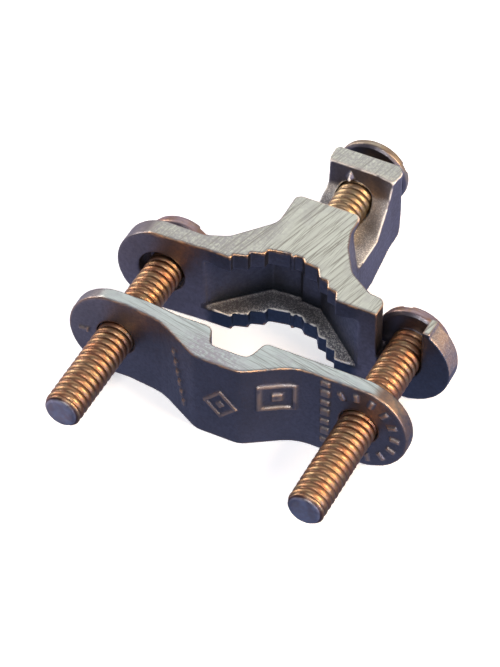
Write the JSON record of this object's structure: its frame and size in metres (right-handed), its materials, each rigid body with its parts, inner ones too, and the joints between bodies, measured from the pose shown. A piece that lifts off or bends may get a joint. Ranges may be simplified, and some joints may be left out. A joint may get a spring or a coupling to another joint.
{
  "type": "pipe ground clamp",
  "caption": "Cast bronze pipe ground clamp: serrated upper jaw with a hooked wire lug, bowed lower jaw, slotted clamp screws and a wire screw; one side swings open.",
  "frame": {"origin": "root of the neck, on the flat ground lower side of the upper jaw, midway between the two clamp screws", "axes": "+X from the closed ear to the slotted ear, +Y along the clamp screws towards their heads and the wire lug, +Z along the gripped pipe"},
  "size_m": [0.0588, 0.0714, 0.0166],
  "materials": {
    "cast_upper": "dark cast bronze with belt-ground pale flats",
    "cast_lower": "dark cast bronze with belt-ground pale flats",
    "screw_bronze": "bright copper-coloured rolled thread",
    "screw_wire": "bright copper-coloured rolled thread"
  },
  "bodies": {
    "upper_jaw_body": {"upper_jaw": "cast_upper"},
    "left_screw_body": {"clamp_screw_left": "screw_bronze"},
    "lower_jaw_body": {"lower_jaw": "cast_lower"},
    "right_screw_body": {"clamp_screw_right": "screw_bronze"},
    "wire_screw_body": {"wire_screw": "screw_wire"}
  },
  "joints": [
    {"name": "swing_open", "type": "hinge", "parent": "upper_jaw_body", "child": "left_screw_body", "pos_m": [-0.02107, -0.0052, 0.0082], "axis": [0, -1, 0], "range_deg": [0, 180]},
    {"name": "jaw_travel", "type": "slide", "parent": "left_screw_body", "child": "lower_jaw_body", "axis": [0, 1, 0], "range_m": [-0.0163, 0.0124]},
    {"name": "right_screw_turn", "type": "hinge", "parent": "left_screw_body", "child": "right_screw_body", "pos_m": [0.02107, -0.0065, 0.0082], "axis": [0, -1, 0], "range_deg": [-4644, 3528]},
    {"name": "wire_screw_travel", "type": "slide", "parent": "upper_jaw_body", "child": "wire_screw_body", "axis": [0, 1, 0], "range_m": [-0.0015, 0.006]}
  ],
  "couplings": [
    {"joint": "right_screw_turn", "follows": "jaw_travel", "rad_per_m": 4947.4}
  ]
}
